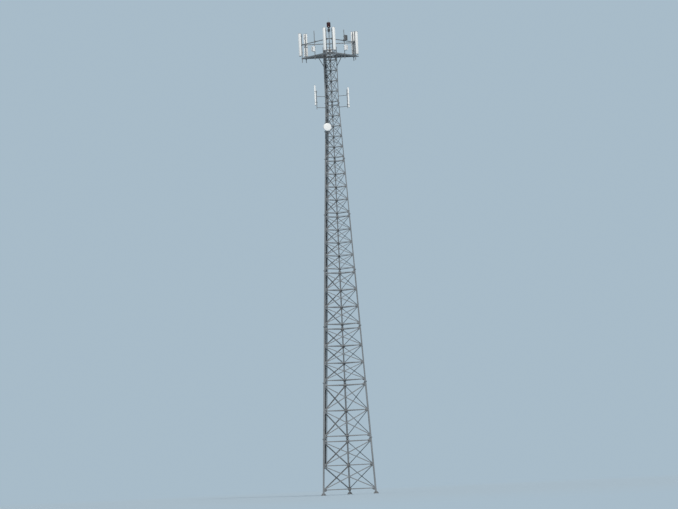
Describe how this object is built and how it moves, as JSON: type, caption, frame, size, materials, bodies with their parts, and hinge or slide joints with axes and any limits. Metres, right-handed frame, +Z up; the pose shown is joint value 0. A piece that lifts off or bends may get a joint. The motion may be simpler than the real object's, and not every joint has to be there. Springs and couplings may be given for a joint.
{
  "type": "lattice cell tower",
  "caption": "Three-legged self-supporting lattice cell tower with a triangular antenna platform, panel antennas, side antennas, a small dish and a red beacon.",
  "frame": {"origin": "centre of the underside of the rear leg's base plate", "axes": "+Z up the tower, -Y from the rear leg towards the front face, +X to the right seen from the front; the plane x = 0 runs through the rear leg and the middle of the front face"},
  "size_m": [4.9108, 5.4072, 39.2],
  "materials": {
    "galvanised_steel": "dull, weathered hot-dip galvanised, matt",
    "panel_white": "off-white fibreglass cover, satin",
    "dish_white": "white powder coat, satin",
    "radio_grey": "very light grey powder coat, satin",
    "beacon_red": "unlit moulded lens, nearly black red",
    "rod_aluminium": "weathered, satin",
    "cable_black": "black cable jacket, matt"
  },
  "bodies": {
    "root": {"leg_left_lower": "galvanised_steel", "leg_left_upper": "galvanised_steel", "leg_right_lower": "galvanised_steel", "leg_right_upper": "galvanised_steel", "leg_rear_lower": "galvanised_steel", "leg_rear_upper": "galvanised_steel", "bracing_front_lower": "galvanised_steel", "bracing_front_upper": "galvanised_steel", "bracing_front_top": "galvanised_steel", "bracing_right_lower": "galvanised_steel", "bracing_right_upper": "galvanised_steel", "bracing_right_top": "galvanised_steel", "bracing_left_lower": "galvanised_steel", "bracing_left_upper": "galvanised_steel", "bracing_left_top": "galvanised_steel", "platform_arms": "galvanised_steel", "deck_front": "galvanised_steel", "deck_left": "galvanised_steel", "deck_right": "galvanised_steel", "edge_pipe_left": "galvanised_steel", "edge_pipe_right": "galvanised_steel", "edge_pipe_rear": "galvanised_steel", "handrail_left": "galvanised_steel", "handrail_right": "galvanised_steel", "handrail_rear": "galvanised_steel", "mast_pipes_left": "galvanised_steel", "mast_pipes_right": "galvanised_steel", "mast_pipes_rear": "galvanised_steel", "panel_left_near": "panel_white", "panel_left_far": "panel_white", "panel_right_near": "panel_white", "panel_right_far": "panel_white", "panel_rear_left": "panel_white", "panel_rear_right": "panel_white", "radio_units": "radio_grey", "beacon_pole": "galvanised_steel", "beacon": "beacon_red", "lightning_rod": "rod_aluminium", "side_arm_left": "galvanised_steel", "side_arm_right": "galvanised_steel", "side_antenna_left": "panel_white", "side_antenna_right": "panel_white", "dish": "dish_white", "dish_mount": "galvanised_steel", "cable_ladder": "galvanised_steel", "cables": "cable_black"}
  },
  "joints": []
}
